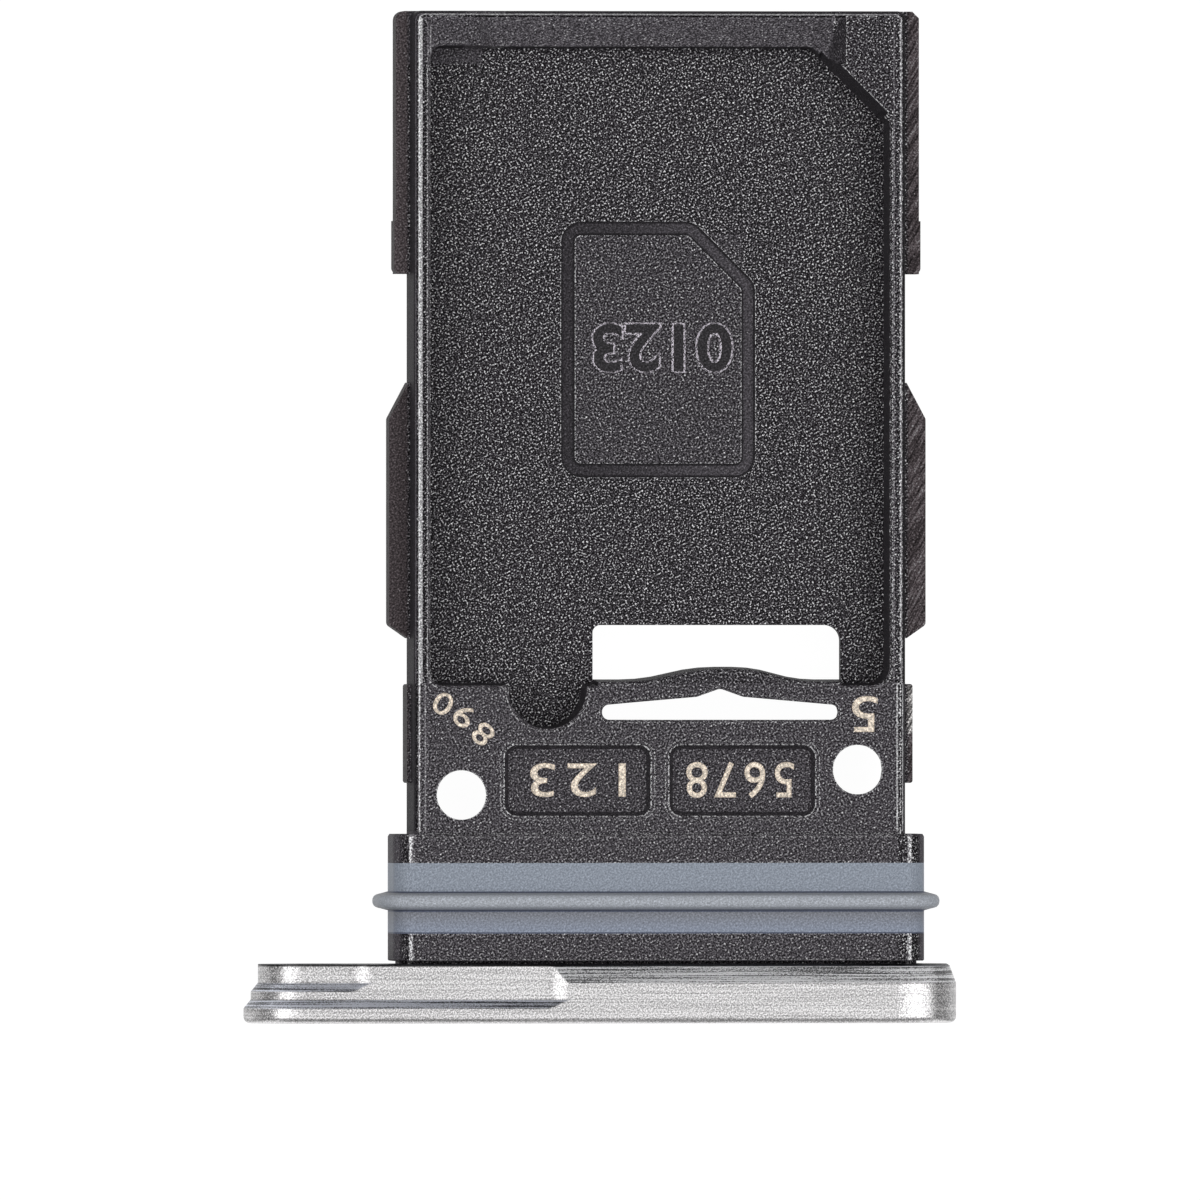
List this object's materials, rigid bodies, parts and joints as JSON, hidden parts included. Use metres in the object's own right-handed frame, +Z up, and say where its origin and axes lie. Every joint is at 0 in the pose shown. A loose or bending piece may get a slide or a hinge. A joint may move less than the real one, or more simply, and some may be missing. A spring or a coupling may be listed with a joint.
{
  "type": "sim card tray",
  "caption": "Slide-in tray for a nano card: a shallow pocket with a spring arm, side rails, a plug with a rubber seal, and a stepped metal end cap with an eject pin hole.",
  "frame": {"origin": "middle of the tray's footprint, on the surface that it lies on", "axes": "+X to the right across the tray, +Y the way the tray goes into the phone, +Z up out of the pocket"},
  "size_m": [0.0138, 0.0196, 0.0025],
  "materials": {
    "carrier_plastic": "fine spark-eroded grain, charcoal black",
    "seal_rubber": "semi-matte blue-grey silicone",
    "cap_metal": "satin blasted face, fine milled sides"
  },
  "bodies": {
    "root": {"card_carrier": "carrier_plastic", "seal_ring": "seal_rubber", "end_cap": "cap_metal"}
  },
  "joints": []
}
